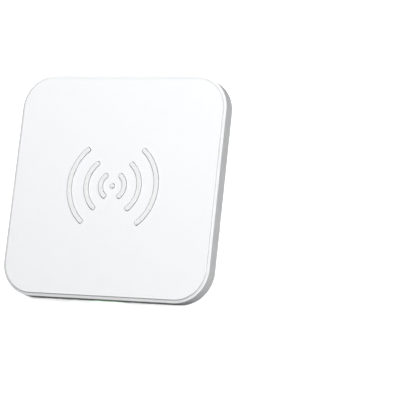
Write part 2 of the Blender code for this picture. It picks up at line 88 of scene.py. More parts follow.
# %% [markdown]
# ## Small tools for modelling by hand
# An operator acts on everything that is selected, so each piece starts with nothing selected. A block
# or a disc is added at its real size and place, its place is applied to its mesh, and faces or edges
# are then picked by where they are or which way they face, just as one would click them.


# %% Start a piece, pick on it and finish it
def deselect_all():
    if bpy.context.object and bpy.context.object.mode != "OBJECT":
        bpy.ops.object.mode_set(mode="OBJECT")
    bpy.ops.object.select_all(action="DESELECT")


def take_up(piece):
    """Make a piece the one selected and active object."""
    deselect_all()
    piece.select_set(True)
    bpy.context.view_layer.objects.active = piece


def apply_place(piece):
    """Move a piece's place, turn and scale into its mesh."""
    take_up(piece)
    bpy.ops.object.transform_apply(location=True, rotation=True, scale=True)


def add_block(name, low, high):
    """A cube that fills the space between two corners."""
    deselect_all()
    low, high = Vector(low), Vector(high)
    bpy.ops.mesh.primitive_cube_add(size=1.0, location=(low + high) / 2)
    piece = bpy.context.object
    piece.name = name
    piece.scale = high - low
    apply_place(piece)
    return piece


def add_disc(name, radius, low_z, high_z, centre=(0.0, 0.0), sides=64):
    """An upright cylinder between two heights."""
    deselect_all()
    place = (centre[0], centre[1], (low_z + high_z) / 2)
    bpy.ops.mesh.primitive_cylinder_add(vertices=sides, radius=radius, depth=high_z - low_z, location=place)
    piece = bpy.context.object
    piece.name = name
    apply_place(piece)
    return piece


def edit(piece, kind):
    """Open a piece for editing with nothing selected; kind is FACE, EDGE or VERT."""
    take_up(piece)
    bpy.ops.object.mode_set(mode="EDIT")
    bpy.ops.mesh.select_mode(type=kind)
    bpy.ops.mesh.select_all(action="DESELECT")


def pick_faces(piece, wanted):
    """Select the faces for which wanted(centre, normal) holds."""
    bpy.ops.mesh.select_mode(type="FACE")
    bpy.ops.mesh.select_all(action="DESELECT")
    shape = bmesh.from_edit_mesh(piece.data)
    for face in shape.faces:
        face.select_set(bool(wanted(face.calc_center_median(), face.normal)))
    bmesh.update_edit_mesh(piece.data)


def pick_edges(piece, wanted):
    """Select the edges for which wanted(middle, direction) holds."""
    bpy.ops.mesh.select_mode(type="EDGE")
    bpy.ops.mesh.select_all(action="DESELECT")
    shape = bmesh.from_edit_mesh(piece.data)
    for edge in shape.edges:
        start, end = edge.verts[0].co, edge.verts[1].co
        edge.select_set(bool(wanted((start + end) / 2, (end - start).normalized())))
    bmesh.update_edit_mesh(piece.data)


def extrude(x=0.0, y=0.0, z=0.0):
    bpy.ops.mesh.extrude_region_move(TRANSFORM_OT_translate={"value": (x, y, z)})


def shift(x=0.0, y=0.0, z=0.0):
    bpy.ops.transform.translate(value=(x, y, z))


def round_edges(radius, segments):
    bpy.ops.mesh.bevel(offset=radius, segments=segments, profile=0.5, affect="EDGES", clamp_overlap=True)


def combine(piece, tool, operation):
    """Join a tool to a piece or cut it out, and remove the tool."""
    take_up(piece)
    modifier = piece.modifiers.new("combine", "BOOLEAN")
    modifier.operation = operation
    modifier.object = tool
    bpy.ops.object.modifier_apply(modifier=modifier.name)
    bpy.data.objects.remove(tool, do_unlink=True)


def soften(piece, radius, segments=2, angle=40.0):
    """Break the sharp edges by a moulding radius and apply it."""
    take_up(piece)
    modifier = piece.modifiers.new("moulding radius", "BEVEL")
    modifier.width = radius
    modifier.segments = segments
    modifier.limit_method = "ANGLE"
    modifier.angle_limit = math.radians(angle)
    modifier.use_clamp_overlap = True
    bpy.ops.object.modifier_apply(modifier=modifier.name)


def finish_piece(piece, material, slot, *nodes, smooth=35.0):
    """Shade a piece, give it its finish, and let it stand for its CAD nodes."""
    take_up(piece)
    bpy.ops.object.shade_smooth_by_angle(angle=math.radians(smooth))
    modifier = piece.modifiers.new("flat faces stay flat", "WEIGHTED_NORMAL")
    modifier.keep_sharp = True
    bpy.ops.object.modifier_apply(modifier=modifier.name)
    piece.data.materials.clear()
    piece.data.materials.append(material)
    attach(piece, BODY)
    if nodes:
        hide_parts(*nodes)
    print(piece.name, "faces:", len(piece.data.polygons))


# %% [markdown]
# ## Materials
# Every finish is a Principled shader fed by a few procedural nodes. Colours are written as sRGB hex
# values, as a colour picker shows them, and one function turns them to the linear values that the
# shader works in. Patterns read Object coordinates, which are metres here, so a pattern's scale is
# one over its real size.


# %% Colour and node helpers
def colour(hex_value):
    """Linear colour of an sRGB hex value."""
    channels = [int(hex_value[i : i + 2], 16) / 255 for i in (0, 2, 4)]
    return (*[c / 12.92 if c <= 0.04045 else ((c + 0.055) / 1.055) ** 2.4 for c in channels], 1.0)


def add_node(material, kind, settings=None, inputs=None, links=None):
    """Add a node with its settings, its socket values and its incoming links."""
    node = material.node_tree.nodes.new(kind)
    for key, value in (settings or {}).items():
        setattr(node, key, value)
    for key, value in (inputs or {}).items():
        node.inputs[key].default_value = value
    for key, source in (links or {}).items():
        material.node_tree.links.new(source, node.inputs[key])
    return node


def new_material(name, **shader_inputs):
    """A material with its Principled shader's plain values set."""
    material = bpy.data.materials.new(name)
    material.use_nodes = True
    shader = material.node_tree.nodes["Principled BSDF"]
    for key, value in shader_inputs.items():
        shader.inputs[key.replace("_", " ")].default_value = value
    return material


def shade(material, links):
    """Link sources to the Principled shader's sockets."""
    shader = material.node_tree.nodes["Principled BSDF"]
    for key, source in links.items():
        material.node_tree.links.new(source, shader.inputs[key])


def grain(material, size, detail=2.0, stretch=(1.0, 1.0, 1.0)):
    """Noise whose features are about size across, in metres."""
    place = add_node(material, "ShaderNodeTexCoord")
    scaled = add_node(
        material, "ShaderNodeMapping", {}, {"Scale": stretch}, {"Vector": place.outputs["Object"]}
    )
    return add_node(
        material,
        "ShaderNodeTexNoise",
        {},
        {"Scale": 1.0 / size, "Detail": detail, "Roughness": 0.55},
        {"Vector": scaled.outputs["Vector"]},
    )


def tint(material, source, low_hex, high_hex, low=0.3, high=0.7):
    """Colour that runs between two hex values as the source runs from low to high."""
    ramp = add_node(material, "ShaderNodeValToRGB", {}, {}, {"Fac": source})
    ramp.color_ramp.elements[0].position = low
    ramp.color_ramp.elements[1].position = high
    ramp.color_ramp.elements[0].color = colour(low_hex)
    ramp.color_ramp.elements[1].color = colour(high_hex)
    return ramp.outputs["Color"]


def spread(material, source, low, high):
    """Value that runs from low to high as the source runs from 0.3 to 0.7."""
    node = add_node(
        material,
        "ShaderNodeMapRange",
        {},
        {"From Min": 0.3, "From Max": 0.7, "To Min": low, "To Max": high},
        {"Value": source},
    )
    return node.outputs["Result"]


def relief(material, source, depth, strength=1.0):
    """Surface relief of a given depth in metres."""
    node = add_node(
        material, "ShaderNodeBump", {}, {"Distance": depth, "Strength": strength}, {"Height": source}
    )
    return node.outputs["Normal"]


# %% [markdown]
# ### Moulded white ABS
# The housing is injection-moulded ABS in a cool white. The tool is spark-eroded, which leaves a grain
# of about a tenth of a millimetre: the eye sees no texture, only an even satin that spreads
# highlights. The colour wanders by less than a percent, and the roughness a little more.


# %% White ABS for the face, and for the housing round it
def moulded_abs(name, low_hex, high_hex, roughness):
    material = new_material(name, IOR=1.54)
    grit = grain(material, 0.12 * MM, 3.0)
    cloud = grain(material, 9.0 * MM, 2.0)
    shade(
        material,
        {
            "Base Color": tint(material, cloud.outputs["Fac"], low_hex, high_hex),
            "Roughness": spread(material, cloud.outputs["Fac"], roughness - 0.03, roughness + 0.03),
            "Normal": relief(material, grit.outputs["Fac"], 0.004 * MM, 0.5),
        },
    )
    return material


face_abs = moulded_abs("satin_white_ABS_face", "F4F5F7", "F6F7F9", 0.42)
housing_abs = moulded_abs("satin_white_ABS_housing", "F3F4F5", "F5F6F7", 0.45)

# %% [markdown]
# ### Silicone, rubber and the light guide
# The grip ribs are a translucent silicone, a shade greyer than the face, satin, with only a trace of
# light scattered inside. The feet are grey rubber with a fine matt grain. The light guide is clear
# polycarbonate with a diffusing finish, lit green from inside.

# %% Grip silicone
grip_silicone = new_material(
    "translucent_silicone_ribs", IOR=1.41, Subsurface_Weight=0.05, Subsurface_Scale=0.3 * MM
)
grip_silicone.node_tree.nodes["Principled BSDF"].inputs["Subsurface Radius"].default_value = (1.0, 1.0, 1.0)
silicone_cloud = grain(grip_silicone, 1.5 * MM, 2.0)
silicone_grit = grain(grip_silicone, 0.15 * MM, 2.0)
shade(
    grip_silicone,
    {
        "Base Color": tint(grip_silicone, silicone_cloud.outputs["Fac"], "F0F1F1", "F5F6F5"),
        "Roughness": spread(grip_silicone, silicone_cloud.outputs["Fac"], 0.48, 0.58),
        "Normal": relief(grip_silicone, silicone_grit.outputs["Fac"], 0.006 * MM, 0.5),
    },
)

# %% Foot rubber
foot_rubber = new_material("grey_silicone_rubber_feet", IOR=1.45)
rubber_grit = grain(foot_rubber, 0.2 * MM, 4.0)
rubber_cloud = grain(foot_rubber, 2.5 * MM, 3.0)
shade(
    foot_rubber,
    {
        "Base Color": tint(foot_rubber, rubber_cloud.outputs["Fac"], "8E9092", "9FA1A3"),
        "Roughness": spread(foot_rubber, rubber_cloud.outputs["Fac"], 0.72, 0.86),
        "Normal": relief(foot_rubber, rubber_grit.outputs["Fac"], 0.02 * MM, 0.6),
    },
)

# %% Light guide, lit green
light_guide = new_material("diffusing_polycarbonate_light_guide", IOR=1.58, Emission_Strength=0.26)
guide_cloud = grain(light_guide, 2.0 * MM, 2.0, (0.4, 1.0, 1.0))
shade(
    light_guide,
    {
        "Base Color": tint(light_guide, guide_cloud.outputs["Fac"], "8DBE9A", "A5D0AF"),
        "Emission Color": tint(light_guide, guide_cloud.outputs["Fac"], "C2F2CA", "D0FFD8"),
        "Roughness": spread(light_guide, guide_cloud.outputs["Fac"], 0.3, 0.4),
    },
)

# %% [markdown]
# ### Metals and the parts inside
# The socket's shell is nickel-plated steel, rolled and then folded, so it has faint lines along its
# width. The screws are zinc-plated, which is slightly mottled. The board is glass laminate under
# green solder mask, with a weave that just shows. The coil is varnished copper strand, the shield a
# sintered ferrite, the film amber polyimide.

# %% Nickel, zinc and copper
nickel_steel = new_material("rolled_nickel_plated_steel", Metallic=1.0)
rolled = grain(nickel_steel, 0.15 * MM, 3.0, (0.08, 1.0, 1.0))
shade(
    nickel_steel,
    {
        "Base Color": tint(nickel_steel, rolled.outputs["Fac"], "D2CFC8", "E0DDD6"),
        "Roughness": spread(nickel_steel, rolled.outputs["Fac"], 0.36, 0.46),
        "Normal": relief(nickel_steel, rolled.outputs["Fac"], 0.002 * MM, 0.5),
    },
)
zinc_steel = new_material("zinc_plated_screw_steel", Metallic=1.0)
zinc_mottle = grain(zinc_steel, 0.4 * MM, 4.0)
shade(
    zinc_steel,
    {
        "Base Color": tint(zinc_steel, zinc_mottle.outputs["Fac"], "9FA3A6", "C4C7C9"),
        "Roughness": spread(zinc_steel, zinc_mottle.outputs["Fac"], 0.3, 0.45),
    },
)
copper_litz = new_material("varnished_copper_strand", Metallic=1.0, Coat_Weight=0.4, Coat_Roughness=0.2)
strands = grain(copper_litz, 0.25 * MM, 3.0)
shade(
    copper_litz,
    {
        "Base Color": tint(copper_litz, strands.outputs["Fac"], "9A4E2B", "D58450"),
        "Roughness": spread(copper_litz, strands.outputs["Fac"], 0.3, 0.5),
        "Normal": relief(copper_litz, strands.outputs["Fac"], 0.05 * MM),
    },
)


# %% Plastics, ceramics and tapes with one kind of grain each
def grained(name, low_hex, high_hex, size, low_rough, high_rough, depth, **shader_inputs):
    """A material whose colour, roughness and relief follow one noise of a given size."""
    material = new_material(name, **shader_inputs)
    noise = grain(material, size, 4.0)
    shade(
        material,
        {
            "Base Color": tint(material, noise.outputs["Fac"], low_hex, high_hex),
            "Roughness": spread(material, noise.outputs["Fac"], low_rough, high_rough),
            "Normal": relief(material, noise.outputs["Fac"], depth, 0.6),
        },
    )
    return material


chip_resin = grained("black_moulding_resin", "1B1B1D", "2A2A2D", 0.1 * MM, 0.45, 0.6, 0.01 * MM)
capacitor_ceramic = grained(
    "sintered_capacitor_ceramic", "8F6F52", "A88560", 0.2 * MM, 0.35, 0.5, 0.005 * MM
)
shield_ferrite = grained("sintered_ferrite", "2B2C2E", "3D3E41", 0.3 * MM, 0.45, 0.65, 0.01 * MM)
led_resin = grained("clear_diode_resin", "BFD8B4", "D6E8CC", 0.5 * MM, 0.25, 0.35, 0.004 * MM)
polyimide_film = grained(
    "amber_polyimide_film", "B0701C", "C98A2C", 1.5 * MM, 0.2, 0.32, 0.004 * MM, Coat_Weight=0.5
)
epoxy_bead = grained("black_epoxy_bead", "171717", "262626", 0.5 * MM, 0.25, 0.4, 0.02 * MM)
black_tape = grained("black_acrylic_foam_tape", "161616", "232323", 0.3 * MM, 0.75, 0.9, 0.02 * MM)
foam_tape = grained("grey_closed_cell_foam_tape", "343434", "4A4A4A", 0.4 * MM, 0.85, 0.95, 0.05 * MM)

# %% Board laminate with its glass weave
# Bands across X repeat every 0.314 m at scale 1, so the scale is that over the real spacing.
# Diagonal bands come out about 1.4 times as wide, which suits a weave that only just shows.
WAVE_REPEAT = 0.314
GLASS_WEAVE = 0.5 * MM
board_laminate = new_material("green_solder_mask_on_glass_laminate", IOR=1.5, Coat_Weight=0.3)
board_cloud = grain(board_laminate, 6.0 * MM, 3.0)
weave_place = add_node(board_laminate, "ShaderNodeTexCoord")
weave = add_node(
    board_laminate,
    "ShaderNodeTexWave",
    {"wave_type": "BANDS", "bands_direction": "DIAGONAL"},
    {"Scale": WAVE_REPEAT / GLASS_WEAVE, "Distortion": 0.5},
    {"Vector": weave_place.outputs["Object"]},
)
shade(
    board_laminate,
    {
        "Base Color": tint(board_laminate, board_cloud.outputs["Fac"], "0B4A26", "0F5C30"),
        "Roughness": spread(board_laminate, board_cloud.outputs["Fac"], 0.35, 0.5),
        "Normal": relief(board_laminate, weave.outputs["Fac"], 0.01 * MM, 0.4),
    },
)

# %% [markdown]
# The tongue's contacts are gold strips half a millimetre apart. A wave texture along the tongue's
# width makes the strips, and a limit on the depth keeps the tip black.

# %% Tongue plastic with gold contacts
CONTACT_PITCH = 0.5 * MM
TIP_WITHOUT_CONTACTS = 0.7 * MM
socket_plastic = new_material("black_nylon_with_gold_contacts", IOR=1.53)
tongue_place = add_node(socket_plastic, "ShaderNodeTexCoord")
strips = add_node(
    socket_plastic,
    "ShaderNodeTexWave",
    {"wave_type": "BANDS", "bands_direction": "X"},
    {"Scale": WAVE_REPEAT / CONTACT_PITCH},
    {"Vector": tongue_place.outputs["Object"]},
)
tongue_axes = add_node(
    socket_plastic, "ShaderNodeSeparateXYZ", {}, {}, {"Vector": tongue_place.outputs["Object"]}
)
behind_tip = add_node(
    socket_plastic,
    "ShaderNodeMath",
    {"operation": "LESS_THAN"},
    {1: tongue_high.y - TIP_WITHOUT_CONTACTS},
    {0: tongue_axes.outputs["Y"]},
)
on_strip = add_node(
    socket_plastic, "ShaderNodeMath", {"operation": "GREATER_THAN"}, {1: 0.5}, {0: strips.outputs["Fac"]}
)
gilded = add_node(
    socket_plastic,
    "ShaderNodeMath",
    {"operation": "MULTIPLY"},
    {},
    {0: behind_tip.outputs["Value"], 1: on_strip.outputs["Value"]},
)
shade(
    socket_plastic,
    {
        "Base Color": tint(socket_plastic, gilded.outputs["Value"], "1A1A1B", "C9A24A"),
        "Metallic": gilded.outputs["Value"],
        "Roughness": spread(socket_plastic, gilded.outputs["Value"], 0.5, 0.3),
    },
)

# %% [markdown]
# ## The camera, the floor and the light
# The pad is seen from high on its right and from a long way off through a long lens, so its edges run
# almost parallel. The camera is placed first, because everything after it is judged through it.

# %% Camera
LENS = 169.2
CAMERA_FROM_FACE = Vector((0.3324, -0.1274, 0.6494))
CAMERA_TURN = (12.4215, 23.1897, 6.5593)
camera_data = bpy.data.cameras.new("camera")
camera_data.lens = LENS
camera_data.sensor_width = 36.0
camera_data.clip_start = 0.05
camera = bpy.data.objects.new("camera", camera_data)
bpy.context.scene.collection.objects.link(camera)
camera.location = CAMERA_FROM_FACE + Vector((0.0, 0.0, FACE_Z))
camera.rotation_euler = Euler([math.radians(a) for a in CAMERA_TURN])
bpy.context.scene.camera = camera
print("camera distance", round(camera.location.length, 3), "m")

# %% [markdown]
# The floor is a white paper sweep, over-exposed as studio backdrops are: it is given more than its
# real brightness, so that it stays white in the pad's soft shadow and darkens only where the pad
# nearly touches it. It sends no light back to the pad. That is left to the lamps, which makes each
# side's tone easy to set.

# %% Floor
OVER_EXPOSURE = 3.4
deselect_all()
bpy.ops.mesh.primitive_plane_add(size=6.0)
floor = bpy.context.object
floor.name = "floor"
floor.visible_diffuse = False
floor.visible_glossy = False
white_sweep = bpy.data.materials.new("white_paper_sweep")
white_sweep.use_nodes = True
sweep_cloud = grain(white_sweep, 40.0 * MM, 2.0)
sweep_white = tint(white_sweep, sweep_cloud.outputs["Fac"], "FDFDFD", "FFFFFF")
exposed = add_node(
    white_sweep,
    "ShaderNodeVectorMath",
    {"operation": "SCALE"},
    {"Scale": OVER_EXPOSURE},
    {"Vector": sweep_white},
)
paper = add_node(white_sweep, "ShaderNodeBsdfDiffuse", {}, {}, {"Color": exposed.outputs["Vector"]})
sweep_end = white_sweep.node_tree.nodes["Material Output"]
white_sweep.node_tree.links.new(paper.outputs["BSDF"], sweep_end.inputs["Surface"])
floor.data.materials.append(white_sweep)

# %% [markdown]
# Low views look past the paper's far edge, so a tall white screen stands all round it. It is the same
# burnt-out white, it glows only for the camera, and it neither lights the pad nor shades it.

# %% Screen round the floor
deselect_all()
bpy.ops.mesh.primitive_cylinder_add(vertices=96, radius=1.25, depth=4.0, end_fill_type="NOTHING")
screen = bpy.context.object
screen.name = "screen"
screen.visible_diffuse = False
screen.visible_glossy = False
screen.visible_transmission = False
screen.visible_shadow = False
white_screen = bpy.data.materials.new("white_screen")
white_screen.use_nodes = True
screen_glow = add_node(white_screen, "ShaderNodeEmission", {}, {"Color": colour("FFFFFF"), "Strength": 1.0})
screen_end = white_screen.node_tree.nodes["Material Output"]
white_screen.node_tree.links.new(screen_glow.outputs["Emission"], screen_end.inputs["Surface"])
screen.data.materials.append(white_screen)


# %% [markdown]
# Four softboxes light the pad. The two strongest stand behind it, so that the face and the far rim
# are bright and the near wall falls dark. A weak one in front opens that wall a little, and a close
# one on the right makes the face brighten from left to right. A lamp's place is given by its bearing,
# counted from the pad's right, and its height.


# %% Lamps
def add_softbox(name, power, size, bearing, height, distance):
    """A square area lamp on a sphere round the pad, facing it; the angles are in degrees."""
    outward = Vector((math.cos(math.radians(bearing)), math.sin(math.radians(bearing)), 0.0))
    outward = outward * math.cos(math.radians(height)) + Vector((0.0, 0.0, math.sin(math.radians(height))))
    lamp_data = bpy.data.lights.new(name, "AREA")
    lamp_data.energy = power
    lamp_data.size = size
    lamp = bpy.data.objects.new(name, lamp_data)
    bpy.context.scene.collection.objects.link(lamp)
    lamp.location = outward * distance
    lamp.rotation_euler = outward.to_track_quat("Z", "Y").to_euler()


add_softbox("rear_softbox", 5.2, 0.6, 90.0, 35.0, 1.2)
add_softbox("rear_left_softbox", 7.3, 0.6, 135.0, 60.0, 1.2)
add_softbox("front_fill", 2.5, 0.6, 315.0, 35.0, 1.2)
add_softbox("right_softbox", 2.2, 0.4, 0.0, 30.0, 0.65)

studio = bpy.data.worlds.new("studio")
studio.use_nodes = True
studio.node_tree.nodes["Background"].inputs["Color"].default_value = colour("FFFFFF")
studio.node_tree.nodes["Background"].inputs["Strength"].default_value = 0.02
bpy.context.scene.world = studio
bpy.context.scene.view_settings.view_transform = "Standard"

# %% [markdown]
# ## Housing: the side wall, the rim and the ledge
# On the real pad this is one moulding, a ring open at top and bottom. It could be swept along a path,
# but a block is quicker: round its four upright edges, inset the top for the rim and lift the inner
# part so that the rim slopes, then sink the inner part to the ledge. The same is done from below, and
# the two holes are bridged.


# %% Ring from a block
def make_housing():
    housing = add_block("housing_shell", (-HALF, -HALF, UNDERSIDE_Z), (HALF, HALF, RIM_INNER_Z - RIM_DROP))
    edit(housing, "EDGE")
    pick_edges(housing, lambda middle, along: abs(along.z) > 0.9)
    round_edges(CORNER_RADIUS, 32)

    pick_faces(housing, lambda centre, normal: normal.z > 0.9)
    bpy.ops.mesh.inset(thickness=RIM_WIDTH)
    shift(z=RIM_DROP)
    extrude(z=LEDGE_TOP_Z - RIM_INNER_Z)
    bpy.ops.mesh.inset(thickness=WALL - RIM_WIDTH + LEDGE_WIDTH)
    bpy.ops.mesh.delete(type="FACE")

    pick_faces(housing, lambda centre, normal: normal.z < -0.9)
    bpy.ops.mesh.inset(thickness=WALL)
    extrude(z=LEDGE_TOP_Z - LEDGE_THICKNESS - UNDERSIDE_Z)
    bpy.ops.mesh.inset(thickness=LEDGE_WIDTH)
    bpy.ops.mesh.delete(type="FACE")

    bpy.ops.mesh.select_mode(type="EDGE")
    bpy.ops.mesh.select_all(action="DESELECT")
    bpy.ops.mesh.select_non_manifold()
    bpy.ops.mesh.bridge_edge_loops()
    bpy.ops.mesh.select_all(action="SELECT")
    bpy.ops.mesh.normals_make_consistent(inside=False)
    deselect_all()
    return housing


housing_shell = make_housing()
print("housing ring", len(housing_shell.data.vertices), "points")

# %% [markdown]
# The socket's opening is a slot with round ends, and the light window is a low arch that reaches the
# wall's lower edge: a slice off a wide cylinder. Both are cut with a Boolean. The arch's height and
# width give its radius.

# %% Openings in the walls
PORT_MARGIN = 0.22 * MM
WINDOW_MARGIN = 0.06 * MM
WINDOW_WIDTH = window_high.x - window_low.x
WINDOW_HEIGHT = 2.5 * MM
WINDOW_DEPTH = 3.6 * MM


def slot_block(name, low, high, radius, segments=10):
    """A block along Y whose four long edges are rounded."""
    block = add_block(name, low, high)
    edit(block, "EDGE")
    pick_edges(block, lambda middle, along: abs(along.y) > 0.9)
    round_edges(radius, segments)
    deselect_all()
    return block


def arch_block(name, margin, front_y, back_y):
    """A flat-bottomed arch: a cylinder along Y cut off level below."""
    half_chord = WINDOW_WIDTH / 2
    radius = (half_chord**2 + WINDOW_HEIGHT**2) / (2 * WINDOW_HEIGHT)
    centre_z = UNDERSIDE_Z + WINDOW_HEIGHT - radius
    deselect_all()
    bpy.ops.mesh.primitive_cylinder_add(
        vertices=192,
        radius=radius + margin,
        depth=back_y - front_y,
        location=(0.0, (front_y + back_y) / 2, centre_z),
        rotation=(math.pi / 2, 0.0, 0.0),
    )
    arch = bpy.context.object
    arch.name = name
    apply_place(arch)
    edit(arch, "FACE")
    bpy.ops.mesh.select_all(action="SELECT")
    floor_z = UNDERSIDE_Z - (0.0 if margin == 0.0 else 1.0 * MM)
    bpy.ops.mesh.bisect(plane_co=(0, 0, floor_z), plane_no=(0, 0, 1), clear_inner=True, use_fill=True)
    deselect_all()
    return arch


port_low = (shell_low.x - PORT_MARGIN, HALF - 5.0 * MM, shell_low.z - PORT_MARGIN)
port_high = (shell_high.x + PORT_MARGIN, HALF + 1.0 * MM, shell_high.z + PORT_MARGIN)
port_radius = (port_high[2] - port_low[2]) / 2 - 0.001 * MM
combine(housing_shell, slot_block("port", port_low, port_high, port_radius), "DIFFERENCE")
window_cutter = arch_block("window", WINDOW_MARGIN, -HALF - 1.0 * MM, -HALF + 2.0 * MM)
combine(housing_shell, window_cutter, "DIFFERENCE")
print("openings cut:", len(housing_shell.data.polygons), "faces")

# %% [markdown]
# Inside each corner stands a boss for a screw, tied to both walls by gussets. Then a small radius is
# put on every sharp edge, because a moulded edge is never sharp and it is the radius that catches the
# light.

# %% Screw bosses and the moulding radius
FOOT_PLACE = (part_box("foot_rear_right")[0].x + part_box("foot_rear_right")[1].x) / 2
CORNERS = {"rear_right": (1, 1), "rear_left": (-1, 1), "front_left": (-1, -1), "front_right": (1, -1)}
BOSS_RADIUS = 2.6 * MM
BOSS_LOW_Z = 2.8 * MM
BOSS_HIGH_Z = 5.4 * MM
SCREW_HOLE_RADIUS = 1.15 * MM
SCREW_HOLE_TOP_Z = 5.1 * MM
GUSSET_HALF_THICKNESS = 0.6 * MM
GUSSET_LOW_Z = 3.4 * MM
GUSSET_HIGH_Z = 5.0 * MM
GUSSET_BITE = 0.2 * MM
CUT_BELOW = 0.3 * MM

for side_x, side_y in CORNERS.values():
    centre = (side_x * FOOT_PLACE, side_y * FOOT_PLACE)
    combine(housing_shell, add_disc("boss", BOSS_RADIUS, BOSS_LOW_Z, BOSS_HIGH_Z, centre, 32), "UNION")
    wall_x = side_x * (HALF - WALL + GUSSET_BITE)
    wall_y = side_y * (HALF - WALL + GUSSET_BITE)
    for end in ((wall_x, centre[1]), (centre[0], wall_y)):
        thick_x = GUSSET_HALF_THICKNESS if end[0] == centre[0] else 0.0
        thick_y = GUSSET_HALF_THICKNESS if end[1] == centre[1] else 0.0
        low = (min(centre[0], end[0]) - thick_x, min(centre[1], end[1]) - thick_y, GUSSET_LOW_Z)
        high = (max(centre[0], end[0]) + thick_x, max(centre[1], end[1]) + thick_y, GUSSET_HIGH_Z)
        combine(housing_shell, add_block("gusset", low, high), "UNION")
    hole = add_disc("boss_hole", SCREW_HOLE_RADIUS, BOSS_LOW_Z - CUT_BELOW, SCREW_HOLE_TOP_Z, centre, 24)
    combine(housing_shell, hole, "DIFFERENCE")
soften(housing_shell, 0.05 * MM, 2)
finish_piece(housing_shell, housing_abs, "white_abs", "housing_frame")

# %% [markdown]
# ## Ribs of the wave symbol
# Six curved ribs and a dot, concentric with the pad. A short block at the rib's radius has its two
# ends spun about the pad's centre, and then its four upright end edges are rounded. The same
# function, with a little more width, makes the tools that cut the slots in the face plate, so that
# every rib has the same thin gap all round.

# %% One rib, and the whole symbol
RIB_WIDTH = 1.64 * MM
RIB_END_FLAT = 0.3 * MM
RIB_ARCS = ((19.0 * MM, 49.0), (11.6 * MM, 49.0), (5.2 * MM, 50.0))
RIB_STEP = 0.5 * MM
RIB_TIP = 1.0 * MM


def make_rib(name, radius, half_angle, side, width, low_z, high_z):
    """A curved rib, side 1 right and -1 left, whose ends reach half a width past its half angle."""
    stub = RIB_STEP / 2
    low = (side * radius - width / 2, -stub, low_z)
    high = (side * radius + width / 2, stub, high_z)
    rib = add_block(name, low, high)
    edit(rib, "FACE")
    end_angle = math.radians(half_angle) + width / 2 / radius
    tip_angle = RIB_TIP / radius
    turn = end_angle - tip_angle - math.atan(stub / radius)
    for end in (1, -1):
        pick_faces(rib, lambda centre, normal, end=end: normal.y * end > 0.99)
        around = {"center": (0.0, 0.0, 0.0), "axis": (0.0, 0.0, -end * side)}
        bpy.ops.mesh.spin(steps=round(turn * radius / RIB_STEP), angle=turn, **around)
        bpy.ops.mesh.spin(steps=1, angle=tip_angle, **around)

    def at_an_end(middle, along):
        return abs(along.z) > 0.9 and math.atan2(abs(middle.y), side * middle.x) > end_angle - tip_angle / 2

    pick_edges(rib, at_an_end)
    round_edges(width / 2 - RIB_END_FLAT, 5)
    bpy.ops.mesh.select_all(action="SELECT")
    bpy.ops.mesh.normals_make_consistent(inside=False)
    deselect_all()
    return rib


def make_symbol(name, width, low_z, high_z):
    """The six ribs and the centre dot, as a list of separate pieces."""
    parts = [add_disc(name + "_dot", width / 2, low_z, high_z, sides=48)]
    for radius, half_angle in RIB_ARCS:
        for side in (1, -1):
            parts.append(make_rib(name + "_arc", radius, half_angle, side, width, low_z, high_z))
    return parts


# %% [markdown]
# ## Face plate
# A plain sheet with the seven slots, proud of the rim by nearly half a millimetre. Its top edge has a
# small chamfer: lit from behind, the near chamfer and the step below it fall dark, and that fine line
# draws the pad's outline. All the edges, the slots' too, get a very small radius at the end.

# %% Face plate with its slots
SLOT_GAP = 0.3 * MM
PLATE_CHAMFER = 0.2 * MM
PLATE_EDGE = 0.04 * MM
face_plate = add_block("face_plate", plate_low, plate_high)
edit(face_plate, "EDGE")
pick_edges(face_plate, lambda middle, along: abs(along.z) > 0.9)
round_edges(CORNER_RADIUS - RIM_WIDTH - RIM_GAP, 32)
pick_edges(face_plate, lambda middle, along: middle.z > FACE_Z - PLATE_EDGE and abs(along.z) < 0.1)
round_edges(PLATE_CHAMFER, 1)
deselect_all()
for slot in make_symbol("slot", RIB_WIDTH + 2 * SLOT_GAP, plate_low.z - 1.0 * MM, plate_high.z + 1.0 * MM):
    combine(face_plate, slot, "DIFFERENCE")
soften(face_plate, PLATE_EDGE, 2, 30.0)
finish_piece(face_plate, face_abs, "white_abs", "top_plate")
print("groove", round(RIM_GAP / MM, 2), "mm wide")

# %% [markdown]
# ## Grip insert
# The ribs are one soft moulding: a thin web behind the plate carries them all, and each stands a
# little proud of the face so that a phone doesn't slide. Each rib's edges are rounded before it is
# joined to the web.

# %% Grip insert with its web
RIB_EDGE = 0.12 * MM
WEB_TOP_Z = plate_low.z - 0.2 * MM
grip_ribs = add_disc("grip_ribs", grip_high.x, grip_low.z, WEB_TOP_Z, sides=96)
soften(grip_ribs, 0.1 * MM, 2)
for rib in make_symbol("rib", RIB_WIDTH, grip_low.z + 0.2 * MM, grip_high.z):
    soften(rib, RIB_EDGE, 4)
    combine(grip_ribs, rib, "UNION")
finish_piece(grip_ribs, grip_silicone, "grip_silicone", "grip_insert")

# %% [markdown]
# ## Light window
# Light from a diode on the board comes down a slanted arm to a low arched window in the front wall.
# The arm is a block with two corners sliced off at 45 degrees, one below and one above, and its foot
# is buried in the window.

